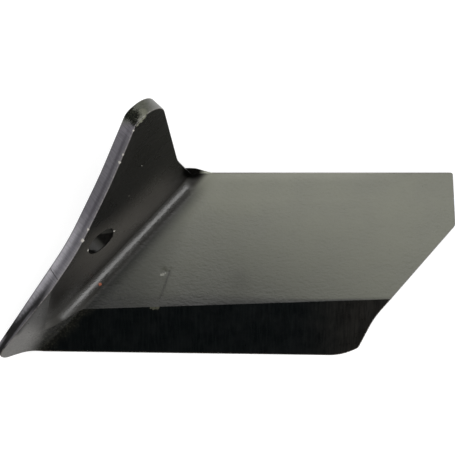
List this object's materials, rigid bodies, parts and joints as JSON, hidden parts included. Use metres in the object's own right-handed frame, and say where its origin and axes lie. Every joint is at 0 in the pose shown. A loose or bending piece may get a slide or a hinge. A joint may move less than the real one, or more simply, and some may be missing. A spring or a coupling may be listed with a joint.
{
  "type": "knife coulter",
  "caption": "Bent steel coulter plate: a flat blade with a ground cutting edge and an upright fin with a bolt hole, fixed ahead of a plough or tool to cut the soil.",
  "frame": {"origin": "on the plane of the blade's back face, under the middle of the box the coulter fills", "axes": "+Z square to the blade, towards the side the fin stands up on; +X along the blade's top edge, away from the fin; the cutting edge faces -Y"},
  "size_m": [0.2998, 0.1624, 0.1241],
  "materials": {
    "coulter_paint": "semi-gloss black paint over steel, bare at worn edges"
  },
  "bodies": {
    "root": {"knife_coulter": "coulter_paint"}
  },
  "joints": []
}
